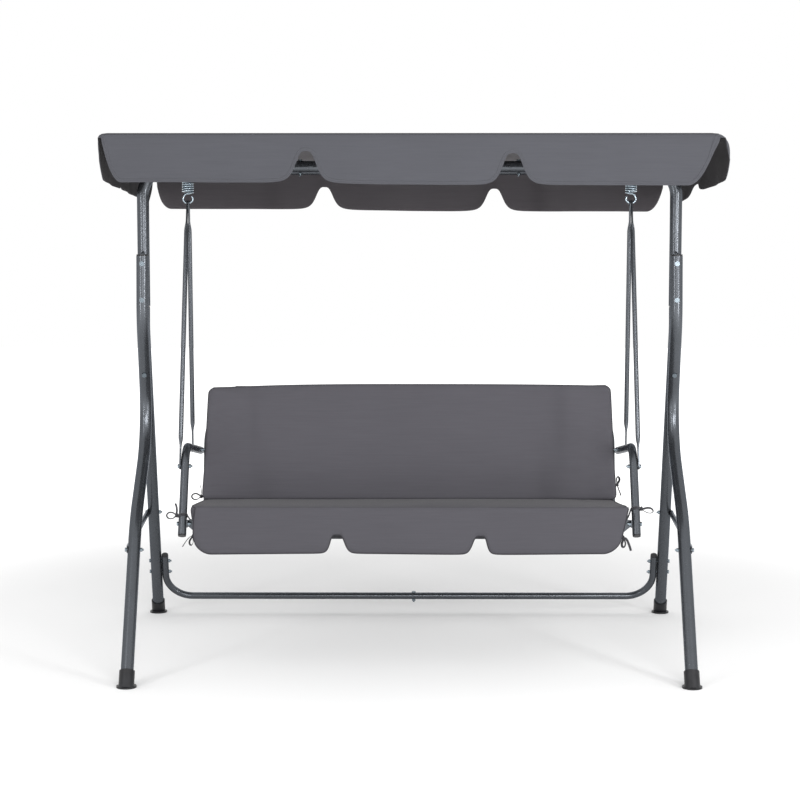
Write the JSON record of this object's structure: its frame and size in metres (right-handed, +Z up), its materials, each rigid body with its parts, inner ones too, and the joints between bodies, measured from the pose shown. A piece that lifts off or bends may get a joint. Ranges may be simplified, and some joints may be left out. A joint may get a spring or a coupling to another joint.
{
  "type": "porch swing",
  "caption": "Porch swing with a steel tube A-frame, a padded bench hung on springs, curved armrests and a tilting fabric canopy with scalloped valances.",
  "frame": {"origin": "centre of the footprint on the ground, midway between the front and rear feet", "axes": "+X towards the right end as seen from the front, +Y to the rear, +Z up"},
  "size_m": [1.722, 1.1062, 1.53],
  "materials": {
    "powder_coated_steel": "dark grey powder coat with a soft sheen",
    "zinc_steel": "bright zinc plate",
    "black_plastic": "moulded, matte",
    "canopy_cloth": "plain woven, coated inside",
    "cushion_cloth": "plain woven with dark piping",
    "sling_mesh": "open weave",
    "ribbon": "narrow woven tape"
  },
  "bodies": {
    "frame": {"beam_left": "powder_coated_steel", "beam_right": "powder_coated_steel", "beam_middle": "powder_coated_steel", "spring_eyes": "powder_coated_steel", "canopy_brackets": "powder_coated_steel", "front_leg_left": "powder_coated_steel", "front_leg_right": "powder_coated_steel", "rear_leg_left": "powder_coated_steel", "rear_leg_right": "powder_coated_steel", "leg_plugs": "black_plastic", "leg_spacers": "zinc_steel", "front_foot_left": "black_plastic", "front_foot_right": "black_plastic", "rear_foot_left": "black_plastic", "rear_foot_right": "black_plastic", "crossbar_left": "powder_coated_steel", "crossbar_right": "powder_coated_steel", "crossbar_caps": "black_plastic", "side_brace_left": "powder_coated_steel", "side_brace_right": "powder_coated_steel", "frame_bolts": "zinc_steel", "frame_nuts": "zinc_steel", "canopy_bolts": "zinc_steel", "canopy_knobs": "black_plastic"},
    "canopy": {"canopy_front_rail": "powder_coated_steel", "canopy_rear_rail": "powder_coated_steel", "canopy_rail_left": "powder_coated_steel", "canopy_rail_right": "powder_coated_steel", "canopy_middle_rail": "powder_coated_steel", "canopy_corners": "black_plastic", "canopy_fabric": "canopy_cloth"},
    "springs": {"spring_left": "zinc_steel", "spring_right": "zinc_steel"},
    "hooks": {"spring_hook_left": "zinc_steel", "spring_hook_right": "zinc_steel"},
    "seat": {"hanger_front_left": "powder_coated_steel", "hanger_front_right": "powder_coated_steel", "hanger_rear_left": "powder_coated_steel", "hanger_rear_right": "powder_coated_steel", "armrest_left": "powder_coated_steel", "armrest_right": "powder_coated_steel", "armrest_caps": "black_plastic", "seat_frame": "powder_coated_steel", "seat_middle_bar": "powder_coated_steel", "seat_brackets": "powder_coated_steel", "back_frame": "powder_coated_steel", "seat_sling": "sling_mesh", "back_sling": "sling_mesh", "seat_bolts": "zinc_steel", "seat_nuts": "zinc_steel", "seat_cushion": "cushion_cloth", "seat_flap": "cushion_cloth", "back_cushion": "cushion_cloth", "tie_bands": "ribbon", "post_tie_left": "ribbon", "post_tie_right": "ribbon", "back_tie_left": "ribbon", "back_tie_right": "ribbon", "flap_tie_left": "ribbon", "flap_tie_right": "ribbon"}
  },
  "joints": [
    {"name": "canopy_tilt", "type": "hinge", "parent": "frame", "child": "canopy", "pos_m": [0, -0.01, 1.4838], "axis": [1, 0, 0], "range_deg": [-18, 18]},
    {"name": "swing", "type": "hinge", "parent": "frame", "child": "springs", "pos_m": [0, -0.01, 1.42145], "axis": [1, 0, 0], "range_deg": [-20, 20]},
    {"name": "spring_stretch", "type": "slide", "parent": "springs", "child": "hooks", "axis": [0, 0, -1], "range_m": [0, 0.025], "stiffness_N_per_m": 98000, "springref_m": -0.0026, "deforming": ["spring_left", "spring_right"]},
    {"name": "seat_rock", "type": "hinge", "parent": "hooks", "child": "seat", "pos_m": [0, -0.01, 1.3451], "axis": [1, 0, 0], "range_deg": [-8, 8]}
  ]
}
